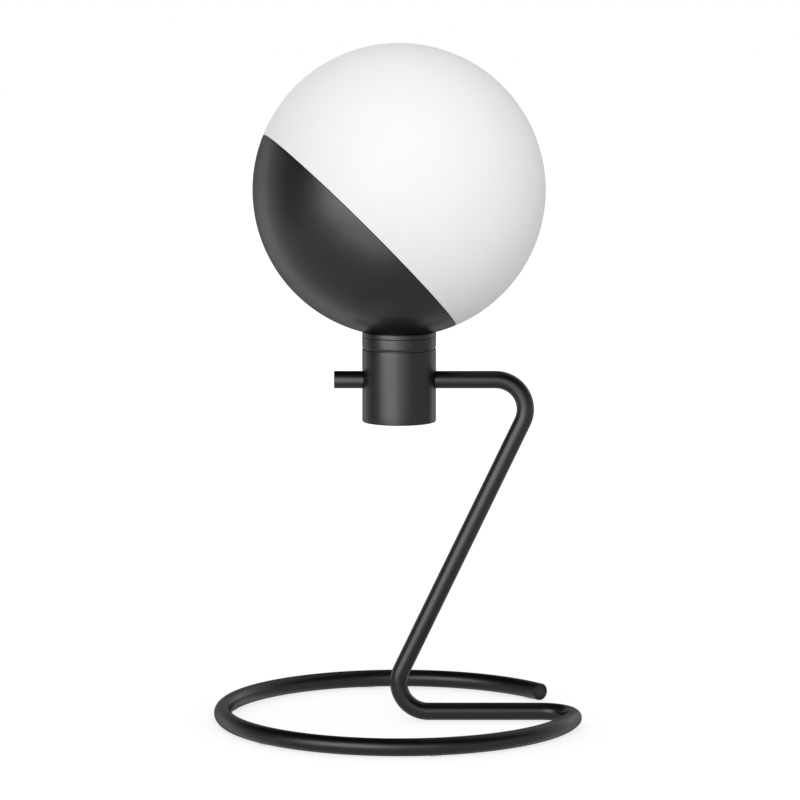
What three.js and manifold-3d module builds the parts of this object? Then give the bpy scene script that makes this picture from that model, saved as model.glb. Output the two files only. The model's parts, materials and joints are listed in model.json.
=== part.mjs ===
// Table lamp: a glass globe in a slanting cap, carried by a bent tube that ends in an open base ring.
// Millimetres, +Z up, +X towards the bends. The origin is on the table, under the globe's centre.

import * as THREE from 'three';
import { mergeVertices } from 'three/addons/utils/BufferGeometryUtils.js';
import Module from 'manifold-3d';

const wasm = await Module();
wasm.setup();

// Driving sizes: fits
const clearance = 0.3; // left between pieces that meet
const overrun = 2; // how far a cut runs past the piece that it cuts

// Driving sizes: stand tube and lead
const tubeRadius = 6;
const tubeWall = 1.5;
const padThickness = 0.6; // between the table and the tube
const ringRadius = 122; // base ring, to the tube's centreline
const footBendRadius = 22; // between the straight base run and the ring
const bendRadius = 20.5; // upper and lower bends of the leg
const topRunHeight = 237.9; // table to the top run's centreline
const kneeReach = 98.7; // where the top run and the leg would meet
const heelReach = -12.35; // where the leg and the base run would meet
const stubReach = 44.6; // from the globe's axis to the stub's end
const freeEndDegrees = 35; // where the ring ends, from +X towards +Y
const leadRadius = 2.6;

// Driving sizes: housing, swivel and stem
const housingRadius = 25.3;
const housingDrop = 28.8; // top run's centreline to the housing's lower edge
const housingWall = 3.5;
const deckThickness = 4.5;
const wireRoom = 4; // between the tube and the stem's lower end
const discHeight = 8.25;
const capLift = 0.43; // between the swivel disc and the cap's lowest point
const leadEase = 0.9; // round the lead in the stem
const stemWall = 1.5;

// Driving sizes: globe and cap
const globeRadius = 100; // the cap lies flush with the globe
const glassWall = 3;
const capWall = 1.2;
const seamDrop = 38.6; // globe's centre to the seam's plane
const seamGap = 0.4;
const capTiltDegrees = 45.46; // of the globe's own axis, from upright
const capTurnDegrees = 10; // of the globe's own axis, from +X towards +Y

// Driving sizes: lampholder and bulb
const holderRadius = 19.5;
const holderWall = 1.8;
const bulbBaseRadius = 13.2;
const bulbBaseHeight = 23;
const bulbRadius = 30;
const bulbBodyHeight = 35;

// Facets
const tubeSides = 12;
const boreSides = 8;
const leadSides = 6;
const smallSides = 10;
const roundSides = 20;
const housingSides = 36;
const globeSides = 40;
const capSteps = 10;
const glassSteps = 13;
const bendStepDegrees = 10;
const ringStepDegrees = 7.5;

const radians = THREE.MathUtils.degToRad;
const up = new THREE.Vector3(0, 0, 1);
const right = new THREE.Vector3(1, 0, 0);

// Sizes and heights that follow from the driving sizes
const boreRadius = tubeRadius - tubeWall;
const baseHeight = padThickness + tubeRadius;
const stemBore = leadRadius + leadEase;
const stemRadius = stemBore + stemWall;
const stemHole = stemRadius + clearance;

const nut = { wall: 2.2, height: 3.5 };
nut.radius = (stemHole + nut.wall) * 2 / Math.sqrt(3);
const springWasher = { height: 1, width: 3.4 };
const thrustWasher = { height: 0.5, width: 4 };
const stemTail = 0.8;

const stemBottom = topRunHeight + tubeRadius + wireRoom;
const lowerNutBottom = stemBottom + stemTail;
const springBottom = lowerNutBottom + nut.height + clearance;
const thrustBottom = springBottom + springWasher.height + clearance;
const deckBottom = thrustBottom + thrustWasher.height + clearance;
const deckTop = deckBottom + deckThickness;
const housingBottom = topRunHeight - housingDrop;
const discBottom = deckTop + clearance;
const discTop = discBottom + discHeight;
const neckBottom = discTop + clearance;
const seatRadius = globeRadius + clearance;
const globeHeight = discTop + capLift + globeRadius;
const capInnerRadius = globeRadius - capWall;

const capWasher = { width: 4, height: 1 };
const capWasherRadius = stemHole + capWasher.width;
const capWasherBottom = globeHeight - Math.sqrt(capInnerRadius ** 2 - capWasherRadius ** 2) + clearance;
const capNutBottom = capWasherBottom + capWasher.height + clearance;
const holderBottom = capNutBottom + nut.height + clearance;

// The globe's own frame: its Z axis is the globe's axis, square to the seam
const globeAxis = new THREE.Vector3(
  Math.sin(radians(capTiltDegrees)) * Math.cos(radians(capTurnDegrees)),
  Math.sin(radians(capTiltDegrees)) * Math.sin(radians(capTurnDegrees)),
  Math.cos(radians(capTiltDegrees)),
);
const globeTurn = new THREE.Quaternion().setFromUnitVectors(up, globeAxis);

// Materials
const finish = (color, roughness, metalness) => ({ color, roughness, metalness });
const finishes = {
  satinBlack: finish(0x1b1b1c, 0.45, 0.3),
  blackPlastic: finish(0x161616, 0.6, 0),
  rubber: finish(0x121212, 0.85, 0),
  clearRubber: finish(0xd8d8d6, 0.4, 0),
  opalGlass: finish(0xf3f3f1, 0.25, 0),
  zincSteel: finish(0xb4b6b8, 0.35, 0.9),
  brass: finish(0xc9a24a, 0.35, 0.9),
  ceramic: finish(0xe9e6df, 0.5, 0),
  whitePlastic: finish(0xe8e8e6, 0.4, 0),
  brownCore: finish(0x5a3216, 0.6, 0),
  blueCore: finish(0x2a5a9c, 0.6, 0),
};

// Solids and meshes

function weld(geometry) {
  const bare = geometry.clone();
  bare.deleteAttribute('normal');
  bare.deleteAttribute('uv');
  const merged = mergeVertices(bare);
  const corners = merged.index.array;
  const kept = [];
  for (let i = 0; i < corners.length; i += 3) {
    const [a, b, c] = corners.subarray(i, i + 3);
    if (a !== b && b !== c && c !== a) kept.push(a, b, c);
  }
  return { vertProperties: merged.attributes.position.array, triVerts: Uint32Array.from(kept) };
}

function solid(geometry) {
  return new wasm.Manifold(new wasm.Mesh({ numProp: 3, ...weld(geometry) }));
}

function piece(name, look, body) {
  const { vertProperties, triVerts } = body.getMesh();
  const geometry = new THREE.BufferGeometry();
  geometry.setAttribute('position', new THREE.BufferAttribute(vertProperties, 3));
  geometry.setIndex(new THREE.BufferAttribute(triVerts, 1));
  geometry.computeVertexNormals();
  const mesh = new THREE.Mesh(geometry, new THREE.MeshStandardMaterial(look));
  mesh.name = name;
  return mesh;
}

// A body turned about Z. The profile lists [radius, height] pairs, up the outside and down the inside.
function turned(profile, sides = roundSides) {
  const points = profile.map(([radius, height]) => new THREE.Vector2(radius, height));
  if (profile[0][0] > 0) points.push(points[0].clone());
  return solid(new THREE.LatheGeometry(points, sides).rotateX(Math.PI / 2));
}

function disc(radius, bottom, top, sides = roundSides) {
  return turned([[0, bottom], [radius, bottom], [radius, top], [0, top]], sides);
}

function washer(inner, outer, bottom, top, sides = roundSides) {
  return turned([[inner, bottom], [outer, bottom], [outer, top], [inner, top]], sides);
}

function block(width, depth, bottom, top) {
  const height = top - bottom;
  return solid(new THREE.BoxGeometry(width, depth, height).translate(0, 0, bottom + height / 2));
}

// A round bar between two points
function bar(radius, from, to, sides = smallSides) {
  const along = to.clone().sub(from);
  const geometry = new THREE.CylinderGeometry(radius, radius, along.length(), sides);
  geometry.applyQuaternion(new THREE.Quaternion().setFromUnitVectors(
    new THREE.Vector3(0, 1, 0), along.clone().normalize()));
  const middle = from.clone().add(to).multiplyScalar(1 / 2);
  return solid(geometry.translate(middle.x, middle.y, middle.z));
}

function uprightBar(radius, x, y, bottom, top, sides = smallSides) {
  return bar(radius, new THREE.Vector3(x, y, bottom), new THREE.Vector3(x, y, top), sides);
}

function hexNut(bottom) {
  const hex = disc(nut.radius, bottom, bottom + nut.height, 6);
  return hex.subtract(disc(stemHole, bottom - overrun, bottom + nut.height + overrun));
}

// A part of a ring between two angles, in radians
function sector(inner, outer, from, to, bottom, top) {
  const steps = Math.ceil((to - from) / radians(ringStepDegrees));
  const edge = (radius, k) => {
    const angle = from + (to - from) * k / steps;
    return new THREE.Vector2(radius * Math.cos(angle), radius * Math.sin(angle));
  };
  const outline = [];
  for (let k = 0; k <= steps; k += 1) outline.push(edge(outer, k));
  for (let k = steps; k >= 0; k -= 1) outline.push(edge(inner, k));
  const shape = new THREE.Shape(outline);
  const geometry = new THREE.ExtrudeGeometry(shape, { depth: top - bottom, bevelEnabled: false });
  return solid(geometry.translate(0, 0, bottom));
}

// Points on a sphere as [radius, height] pairs, between two angles from its top
function sphereArc(radius, from, to, steps) {
  return Array.from({ length: steps + 1 }, (_, k) => {
    const angle = from + (to - from) * k / steps;
    return [radius * Math.sin(angle), radius * Math.cos(angle)];
  });
}

const onAxis = (profile, height) => [[0, height], ...profile.slice(1)];
const endsOnAxis = (profile, height) => [...profile.slice(0, -1), [0, height]];

// Routes: each station is a point and the heading there

class Route extends THREE.Curve {
  constructor(stations) {
    super();
    this.stations = stations;
  }

  at(share) {
    return this.stations[Math.round(share * (this.stations.length - 1))];
  }

  getPointAt(share) {
    return this.at(share).point.clone();
  }

  getTangentAt(share) {
    return this.at(share).heading.clone();
  }
}

// An arc that starts at a point and turns about an axis by an angle, in radians
function arc(centre, start, axis, angle, stepDegrees) {
  const steps = Math.ceil(angle / radians(stepDegrees));
  const spoke = start.clone().sub(centre);
  return Array.from({ length: steps + 1 }, (_, k) => {
    const turnedSpoke = spoke.clone().applyAxisAngle(axis, angle * k / steps);
    const heading = axis.clone().cross(turnedSpoke).normalize();
    return { point: turnedSpoke.add(centre), heading };
  });
}

// A bend of one radius at the corner where two straight runs would meet
function bend(corner, before, after, radius) {
  const angle = before.angleTo(after);
  const start = corner.clone().addScaledVector(before, -radius * Math.tan(angle / 2));
  const axis = before.clone().cross(after).normalize();
  const centre = start.clone().addScaledVector(axis.clone().cross(before), radius);
  return arc(centre, start, axis, angle, bendStepDegrees);
}

function circle(radius, sides) {
  return Array.from({ length: sides }, (_, k) => {
    const angle = 2 * Math.PI * k / sides;
    return new THREE.Vector2(radius * Math.cos(angle), radius * Math.sin(angle));
  });
}

// A round section, with or without a bore, carried along the stations
function sweep(stations, radius, sides, hole = 0) {
  const section = new THREE.Shape(circle(radius, sides));
  if (hole > 0) section.holes.push(new THREE.Path(circle(hole, boreSides)));
  return solid(new THREE.ExtrudeGeometry(section, {
    steps: stations.length - 1,
    extrudePath: new Route(stations),
  }));
}

// The straight base run turns through the foot bend into the ring, which runs clockwise to its free end
const footReach = Math.sqrt((ringRadius - footBendRadius) ** 2 - footBendRadius ** 2);
const footSwing = Math.asin(footBendRadius / (ringRadius - footBendRadius));
const ringSweep = 2 * Math.PI - radians(freeEndDegrees) - footSwing;
const down = up.clone().negate();

function ringArc(from, to) {
  const start = new THREE.Vector3(ringRadius, 0, 0).applyAxisAngle(up, -footSwing - from);
  const centre = new THREE.Vector3(0, 0, baseHeight);
  return arc(centre, start.add(centre), down, to - from, ringStepDegrees);
}

// From the upper bend to the ring's free end, stopping short of it by a trim
function lowerRoute(trim = 0) {
  const knee = new THREE.Vector3(kneeReach, 0, topRunHeight);
  const heel = new THREE.Vector3(heelReach, 0, baseHeight);
  const leg = heel.clone().sub(knee).normalize();
  const footCentre = new THREE.Vector3(footReach, -footBendRadius, baseHeight);
  const footStart = new THREE.Vector3(footReach, 0, baseHeight);
  return [
    ...bend(knee, right, leg, bendRadius),
    ...bend(heel, leg, right, bendRadius),
    ...arc(footCentre, footStart, down, Math.PI / 2 + footSwing, bendStepDegrees),
    ...ringArc(0, ringSweep - trim / ringRadius).slice(1),
  ];
}

// Stand tube, its end pieces and the lead inside it

const leadBendShare = 1.2; // of the height that the lead climbs to the stem
const leadBendRadius = (tubeRadius + wireRoom) * leadBendShare;
const slotShare = 0.67; // of the lead's bend radius
const slot = { halfWidth: stemBore, left: -stemBore, right: leadBendRadius * slotShare };

function wireSlot() {
  const width = slot.right - slot.left;
  const cut = block(width, 2 * slot.halfWidth, topRunHeight, topRunHeight + tubeRadius + overrun);
  return cut.translate([slot.left + width / 2, 0, 0]);
}

function standTube() {
  const stubEnd = { point: new THREE.Vector3(-stubReach, 0, topRunHeight), heading: right };
  const outside = sweep([stubEnd, ...lowerRoute()], tubeRadius, tubeSides, boreRadius);
  return outside.subtract(wireSlot());
}

const stubPlug = { length: 7, recess: 0.2 };

function stubPlugBody() {
  const end = -stubReach + stubPlug.recess;
  const stations = [end, end + stubPlug.length].map((x) => (
    { point: new THREE.Vector3(x, 0, topRunHeight), heading: right }));
  return sweep(stations, boreRadius - clearance, boreSides);
}

const bush = { length: 9, recess: 1.2, ease: 0.45 };

function inletBush() {
  const end = ringSweep - bush.recess / ringRadius;
  const stations = ringArc(end - bush.length / ringRadius, end);
  return sweep(stations, boreRadius - bush.ease, boreSides, leadRadius + clearance);
}

const leadJoint = deckTop + clearance / 2;

function supplyLead() {
  const top = { point: new THREE.Vector3(0, 0, leadJoint - clearance / 2), heading: down };
  const corner = new THREE.Vector3(0, 0, topRunHeight);
  const stations = [
    top,
    ...bend(corner, down, right, leadBendRadius),
    ...lowerRoute(bush.recess + clearance),
  ];
  return sweep(stations, leadRadius, leadSides);
}

// Foot pads, spread evenly along the ring

const pad = { count: 6, length: 8, width: 4, inset: 12 };

function footPad() {
  const halfSpan = pad.length / 2 / ringRadius;
  const halfWidth = pad.width / 2;
  const pass = halfSpan + overrun / ringRadius;
  const body = sector(ringRadius - halfWidth, ringRadius + halfWidth, -halfSpan, halfSpan, 0, baseHeight);
  const centre = new THREE.Vector3(0, 0, baseHeight);
  const start = new THREE.Vector3(ringRadius, 0, 0).applyAxisAngle(up, pass).add(centre);
  const seat = sweep(arc(centre, start, down, 2 * pass, ringStepDegrees), tubeRadius + clearance, tubeSides);
  return body.subtract(seat);
}

function footPads() {
  const first = radians(freeEndDegrees) + pad.inset / ringRadius;
  const span = ringSweep - 2 * pad.inset / ringRadius;
  return Array.from({ length: pad.count }, (_, k) => {
    const mesh = piece(`foot_pad_${k + 1}`, finishes.clearRubber, footPad());
    mesh.rotation.z = first + span * k / (pad.count - 1);
    return mesh;
  });
}

// Housing with its two collars round the tube, its cover and its screws

const collar = { wall: 3.7, length: 11 };
const cover = { thickness: 2.5, recess: 0.5, ledge: 0.8 };
const edgeRound = 0.8;
const edgeEase = edgeRound * (1 - Math.SQRT1_2);
const housingBore = housingRadius - housingWall;
const coverRadius = housingBore + cover.ledge - clearance;
const coverBottom = housingBottom + cover.recess;
const coverTop = coverBottom + cover.thickness;
const ledgeHeight = coverTop + clearance;

const coverScrew = { radius: 1.5, headRadius: 2.8, headHeight: 1.6, length: 9, edge: 1.2 };
coverScrew.offset = coverRadius - coverScrew.headRadius - coverScrew.edge;
const coverBoss = { height: 12 };
coverBoss.radius = housingRadius - housingWall / 2 - coverScrew.offset;

const lockScrew = { radius: 2.5, length: 6, socketRadius: 1.3, socketDepth: 2.5 };
lockScrew.offset = housingBore - collar.length / 2;
lockScrew.top = topRunHeight - tubeRadius - clearance;

// From the stem outwards: the swivel washer, then the groove in which the stop pins run
const swivelWasher = { height: 1, hub: 1.9, width: 6 };
swivelWasher.inner = stemHole + swivelWasher.hub;
swivelWasher.outer = swivelWasher.inner + swivelWasher.width;
const stopPin = { radius: 1.25, ledge: 1.5, depth: 2.5 };
const grooveHalfWidth = stopPin.radius + clearance;
stopPin.offset = swivelWasher.outer + stopPin.ledge + grooveHalfWidth;

function housingShell() {
  const groove = stopPin.offset;
  return turned([
    [housingBore + cover.ledge, housingBottom],
    [housingRadius - edgeRound, housingBottom],
    [housingRadius - edgeEase, housingBottom + edgeEase],
    [housingRadius, housingBottom + edgeRound],
    [housingRadius, deckTop],
    [groove + grooveHalfWidth, deckTop],
    [groove + grooveHalfWidth, deckTop - stopPin.depth],
    [groove - grooveHalfWidth, deckTop - stopPin.depth],
    [groove - grooveHalfWidth, deckTop],
    [stemHole, deckTop],
    [stemHole, deckBottom],
    [housingBore, deckBottom],
    [housingBore, ledgeHeight],
    [housingBore + cover.ledge, ledgeHeight],
  ], housingSides);
}

function housing() {
  const reach = housingRadius + overrun;
  const wallMiddle = housingRadius - housingWall / 2;
  let body = housingShell();
  for (const side of [-1, 1]) {
    const inner = new THREE.Vector3(side * (housingBore - collar.length), 0, topRunHeight);
    const outer = new THREE.Vector3(side * wallMiddle, 0, topRunHeight);
    body = body.add(bar(tubeRadius + clearance + collar.wall, inner, outer, roundSides));
    const bossY = side * coverScrew.offset;
    body = body.add(uprightBar(coverBoss.radius, 0, bossY, ledgeHeight, ledgeHeight + coverBoss.height));
  }
  const passage = bar(tubeRadius + clearance, new THREE.Vector3(-reach, 0, topRunHeight),
    new THREE.Vector3(reach, 0, topRunHeight), roundSides);
  body = body.subtract(passage);
  for (const side of [-1, 1]) {
    body = body.subtract(uprightBar(lockScrew.radius + clearance, side * lockScrew.offset, 0,
      housingBottom + cover.recess, topRunHeight));
    body = body.subtract(uprightBar(coverScrew.radius + clearance, 0, side * coverScrew.offset,
      housingBottom, coverBottom + coverScrew.length + clearance));
  }
  const pinBottom = deckTop - stopPin.depth - clearance;
  return body.subtract(uprightBar(stopPin.radius + clearance, 0, -stopPin.offset, pinBottom, deckTop));
}

function housingCover() {
  let body = disc(coverRadius, coverBottom, coverTop, housingSides);
  for (const side of [-1, 1]) {
    const y = side * coverScrew.offset;
    body = body.subtract(uprightBar(coverScrew.radius + clearance, 0, y, housingBottom, ledgeHeight));
    const headTop = coverBottom + coverScrew.headHeight + clearance;
    body = body.subtract(uprightBar(coverScrew.headRadius + clearance, 0, y, housingBottom, headTop));
  }
  return body;
}

// A pan-head screw whose head is at the bottom, at z = 0
function coverScrewBody() {
  const { radius, headRadius, headHeight, length } = coverScrew;
  const shape = [[0, 0], [headRadius, 0], [headRadius, headHeight], [radius, headHeight],
    [radius, length], [0, length]];
  const slotCut = block(headRadius * 3, radius / 2, -overrun, headHeight / 2);
  return turned(shape, smallSides).subtract(slotCut);
}

// A grub screw with its socket at the bottom, at z = 0
function lockScrewBody() {
  const { radius, length, socketRadius, socketDepth } = lockScrew;
  return disc(radius, 0, length, smallSides).subtract(disc(socketRadius, -overrun, socketDepth, 6));
}

function screws() {
  const meshes = [];
  for (const [k, side] of [-1, 1].entries()) {
    const coverMesh = piece(`cover_screw_${k + 1}`, finishes.zincSteel, coverScrewBody());
    coverMesh.position.set(0, side * coverScrew.offset, coverBottom);
    const lockMesh = piece(`tube_lock_screw_${k + 1}`, finishes.zincSteel, lockScrewBody());
    lockMesh.position.set(side * lockScrew.offset, 0, lockScrew.top - lockScrew.length);
    meshes.push(coverMesh, lockMesh);
  }
  return meshes;
}

// Swivel: the disc turns on the housing's deck, and its pin stops against the fixed pin

const discEdge = { chamferHeight: 1.5, chamferDepth: 0.6 };
const pinGrip = 4; // how far the moving pin reaches into the disc

function swivelWasherBody() {
  const bottom = deckTop + clearance;
  return washer(swivelWasher.inner, swivelWasher.outer, bottom, bottom + swivelWasher.height);
}

function swivelDisc() {
  const { chamferHeight, chamferDepth } = discEdge;
  const recessTop = deckTop + swivelWasher.height + 2 * clearance;
  const recessOuter = swivelWasher.outer + clearance;
  const recessInner = swivelWasher.inner - clearance;
  const body = turned([
    [stemHole, discBottom],
    [recessInner, discBottom],
    [recessInner, recessTop],
    [recessOuter, recessTop],
    [recessOuter, discBottom],
    [housingRadius - chamferDepth, discBottom],
    [housingRadius, discBottom + chamferHeight],
    [housingRadius, discTop],
    [stemHole, discTop],
  ], housingSides);
  const hole = uprightBar(stopPin.radius + clearance, 0, stopPin.offset, discBottom - overrun,
    discBottom + pinGrip + clearance);
  return body.subtract(hole);
}

function movingPin() {
  const bottom = deckTop - stopPin.depth + clearance;
  return uprightBar(stopPin.radius, 0, stopPin.offset, bottom, discBottom + pinGrip);
}

function fixedPin() {
  return uprightBar(stopPin.radius, 0, -stopPin.offset, deckTop - stopPin.depth, deckTop);
}

// The neck ring's top is hollowed to the globe's sphere
const neckInnerShare = 0.6;

function neckRing() {
  const inner = housingRadius * neckInnerShare;
  const seatHeight = (radius) => globeHeight - Math.sqrt(seatRadius ** 2 - radius ** 2);
  const seat = Array.from({ length: 4 }, (_, k) => {
    const radius = housingRadius + (inner - housingRadius) * k / 3;
    return [radius, seatHeight(radius)];
  });
  return turned([[inner, neckBottom], [housingRadius, neckBottom], ...seat], housingSides);
}

// Stem with its nuts and washers

const holder = { neckHeight: 5, neckWall: 2.7, bellHeight: 9, capHeight: 20, skirtHeight: 31 };
holder.neckRadius = stemHole + holder.neckWall;
const stemTop = holderBottom + holder.neckHeight + clearance;

function stemParts() {
  const { zincSteel } = finishes;
  const ringWasher = (width, bottom, height) => washer(stemHole, stemHole + width, bottom, bottom + height);
  return [
    piece('threaded_stem', zincSteel, washer(stemBore, stemRadius, stemBottom, stemTop)),
    piece('lower_nut', zincSteel, hexNut(lowerNutBottom)),
    piece('spring_washer', zincSteel, ringWasher(springWasher.width, springBottom, springWasher.height)),
    piece('thrust_washer', zincSteel, ringWasher(thrustWasher.width, thrustBottom, thrustWasher.height)),
    piece('cap_washer', zincSteel, ringWasher(capWasher.width, capWasherBottom, capWasher.height)),
    piece('cap_nut', zincSteel, hexNut(capNutBottom)),
  ];
}

// Lampholder

const insert = { ledge: 1, height: 8 };
const terminal = { width: 5, depth: 4, height: 4, room: 1 };
const shellWall = 0.5;
const springLeaf = { radius: 3.5, height: 1.5 };
const holderBore = holderRadius - holderWall;
const capJoint = holderBottom + holder.capHeight;
const bellBottom = holderBottom + holder.neckHeight;
const bellTop = bellBottom + holder.bellHeight;
const bellFloor = bellBottom + holderWall;
const bellEdge = bellTop + holderWall / 2;
const insertBottom = bellTop + insert.ledge;
const insertTop = insertBottom + insert.height;
const terminalTop = insertBottom - clearance;
const shellBottom = insertTop + clearance;
const shellInner = bulbBaseRadius + clearance;

// The terminals stand in the bell, as far out as its slanting wall leaves room for
const bellSlope = (holderBore - holder.neckRadius) / (bellEdge - bellFloor);
const bellRadius = holder.neckRadius + (terminalTop - terminal.height - bellFloor) * bellSlope;
const terminalCorner = bellRadius - terminal.room;
const terminalReach = Math.sqrt(terminalCorner ** 2 - (terminal.depth / 2) ** 2) - terminal.width / 2;

function holderCap() {
  return turned([
    [stemHole, holderBottom],
    [holder.neckRadius, holderBottom],
    [holder.neckRadius, bellBottom],
    [holderRadius, bellTop],
    [holderRadius, capJoint],
    [holderBore, capJoint],
    [holderBore, bellEdge],
    [holder.neckRadius, bellFloor],
    [stemHole, bellFloor],
  ]);
}

function holderSkirt() {
  const bottom = capJoint + clearance;
  const top = capJoint + holder.skirtHeight;
  return turned([
    [holderBore, bottom],
    [holderRadius, bottom],
    [holderRadius, top - holderWall],
    [holderRadius - holderWall / 2, top],
    [holderBore, top],
  ]);
}

function holderInsert() {
  const wireHole = leadRadius;
  let body = disc(holderBore - clearance, insertBottom, insertTop);
  for (const side of [-1, 1]) {
    body = body.subtract(uprightBar(wireHole / 2, side * terminalReach, 0, insertBottom - overrun,
      insertTop + overrun));
  }
  return body;
}

function holderScrewShell() {
  return washer(shellInner, shellInner + shellWall, shellBottom, shellBottom + bulbBaseHeight + clearance);
}

function terminalBlock(side) {
  return block(terminal.width, terminal.depth, terminalTop - terminal.height, terminalTop)
    .translate([side * terminalReach, 0, 0]);
}

// Wiring above the swivel

const sheathTop = stemTop + clearance;
const coreRadius = 1;
const coreBendRadius = 2.5;

function lampLead() {
  return uprightBar(leadRadius, 0, 0, leadJoint + clearance / 2, sheathTop);
}

// Each core leaves the sheath and bends over to its terminal
function core(side) {
  const height = terminalTop - terminal.height / 2;
  const from = new THREE.Vector3(side * (coreRadius + clearance), 0, sheathTop + clearance);
  const corner = new THREE.Vector3(from.x, 0, height);
  const reach = terminalReach - terminal.width / 2 - clearance;
  const end = new THREE.Vector3(side * reach, 0, height);
  const outwards = right.clone().multiplyScalar(side);
  const turn = bend(corner, up, outwards, coreBendRadius);
  const stations = [{ point: from, heading: up }, ...turn, { point: end, heading: outwards }];
  return sweep(stations, coreRadius, leadSides);
}

function lampholderParts() {
  const { blackPlastic, ceramic, brass } = finishes;
  const leafTop = shellBottom + springLeaf.height;
  return [
    piece('lampholder_cap', blackPlastic, holderCap()),
    piece('lampholder_skirt', blackPlastic, holderSkirt()),
    piece('lampholder_insert', ceramic, holderInsert()),
    piece('lampholder_screw_shell', brass, holderScrewShell()),
    piece('lampholder_contact', brass, disc(springLeaf.radius, shellBottom, leafTop, smallSides)),
    piece('terminal_live', brass, terminalBlock(1)),
    piece('terminal_neutral', brass, terminalBlock(-1)),
    piece('lamp_lead', blackPlastic, lampLead()),
    piece('core_live', finishes.brownCore, core(1)),
    piece('core_neutral', finishes.blueCore, core(-1)),
  ];
}

// Bulb

const bulbTip = { radius: 4.5, height: 1.8 };
const bulbWall = 1.2;
const bulbShoulder = 2.6;
const bulbDomeAngle = 2 * Math.PI / 3; // from the bulb's top to the dome's edge
const bulbTipBottom = shellBottom + springLeaf.height + clearance;
const bulbBaseBottom = bulbTipBottom + bulbTip.height + clearance;
const bulbBodyBottom = bulbBaseBottom + bulbBaseHeight + clearance;
const diffuserBottom = bulbBodyBottom + bulbBodyHeight + clearance;

function bulbBase() {
  const top = bulbBaseBottom + bulbBaseHeight;
  return turned([
    [0, bulbBaseBottom],
    [bulbBaseRadius - bulbShoulder, bulbBaseBottom],
    [bulbBaseRadius, bulbBaseBottom + bulbShoulder],
    [bulbBaseRadius, top],
    [0, top],
  ]);
}

// The body flares from the screw cap to the diffuser's edge in a quarter wave
function bulbBody() {
  const steps = 5;
  const widening = bulbRadius * Math.sin(bulbDomeAngle) - bulbBaseRadius;
  const flare = Array.from({ length: steps + 1 }, (_, k) => {
    const share = k / steps;
    return [bulbBaseRadius + widening * Math.sin(share * Math.PI / 2),
      bulbBodyBottom + bulbBodyHeight * share];
  });
  return turned([[0, bulbBodyBottom], ...flare, [0, bulbBodyBottom + bulbBodyHeight]]);
}

function bulbDiffuser() {
  const drop = -bulbRadius * Math.cos(bulbDomeAngle);
  const centre = diffuserBottom + drop;
  const lifted = (radius, from, to) => sphereArc(radius, from, to, 7)
    .map(([distance, height]) => [distance, height + centre]);
  const innerRadius = bulbRadius - bulbWall;
  const outer = lifted(bulbRadius, bulbDomeAngle, 0);
  const inner = lifted(innerRadius, 0, Math.acos(-drop / innerRadius));
  return turned([...onAxis(inner, centre + innerRadius), ...endsOnAxis(outer, centre + bulbRadius)]);
}

function bulbParts() {
  const tipTop = bulbTipBottom + bulbTip.height;
  return [
    piece('bulb_contact', finishes.brass, disc(bulbTip.radius, bulbTipBottom, tipTop, smallSides)),
    piece('bulb_screw_cap', finishes.zincSteel, bulbBase()),
    piece('bulb_body', finishes.whitePlastic, bulbBody()),
    piece('bulb_diffuser', finishes.opalGlass, bulbDiffuser()),
  ];
}

// Globe and cap, in the globe's own frame

const neck = { shelf: 12.5, depth: 8 };
const bayonet = {
  count: 3, ringWall: 1.7, reach: 2.4, height: 2, play: 0.5,
  spanDegrees: 10, travelDegrees: 22, easeDegrees: 2,
};
const gasket = { height: 0.9, width: 5 };
const lockRingFloor = 1.6; // lock ring below the glass neck

const glassSeam = -seamDrop + seamGap / 2;
const capRim = -seamDrop - seamGap / 2;
const neckRadius = Math.sqrt(globeRadius ** 2 - seamDrop ** 2) - neck.shelf;
const neckEnd = glassSeam - neck.depth;
const gasketTop = glassSeam - clearance;
const lockRingTop = gasketTop - gasket.height - clearance;
const lockRingBottom = neckEnd - lockRingFloor;
const globeRingInner = neckRadius + clearance;
const globeRingOuter = globeRingInner + bayonet.ringWall;
const lockRingInner = globeRingOuter + bayonet.play;
const lugBottom = neckEnd + clearance;
const lugTop = lugBottom + bayonet.height;

// The stem's hole and a flat for its washer are upright, so they are cut along the tilted Z axis
function capShell() {
  const outer = sphereArc(globeRadius, Math.PI, Math.acos(capRim / globeRadius), capSteps);
  const inner = sphereArc(capInnerRadius, Math.acos(capRim / capInnerRadius), Math.PI, capSteps);
  const bowl = turned([...onAxis(outer, -globeRadius), ...endsOnAxis(inner, -capInnerRadius)], globeSides);
  const toGlobeFrame = globeTurn.clone().invert();
  const upright = (radius, bottom, top) => bar(radius,
    new THREE.Vector3(0, 0, bottom).applyQuaternion(toGlobeFrame),
    new THREE.Vector3(0, 0, top).applyQuaternion(toGlobeFrame), roundSides);
  const flatHeight = capWasherBottom - clearance - globeHeight;
  const inside = -capInnerRadius + capWasherRadius;
  return bowl.subtract(upright(stemHole, -globeRadius - overrun, inside))
    .subtract(upright(capWasherRadius + clearance, flatHeight, inside));
}

function glassGlobe() {
  const innerRadius = globeRadius - glassWall;
  const shelfTop = glassSeam + glassWall;
  const neckInner = neckRadius - glassWall;
  const inner = sphereArc(innerRadius, 0, Math.acos(shelfTop / innerRadius), glassSteps);
  const outer = sphereArc(globeRadius, Math.acos(glassSeam / globeRadius), 0, glassSteps);
  return turned([
    ...onAxis(inner, innerRadius),
    [neckInner, shelfTop],
    [neckInner, neckEnd],
    [neckRadius, neckEnd],
    [neckRadius, glassSeam],
    ...endsOnAxis(outer, globeRadius),
  ], globeSides);
}

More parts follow.
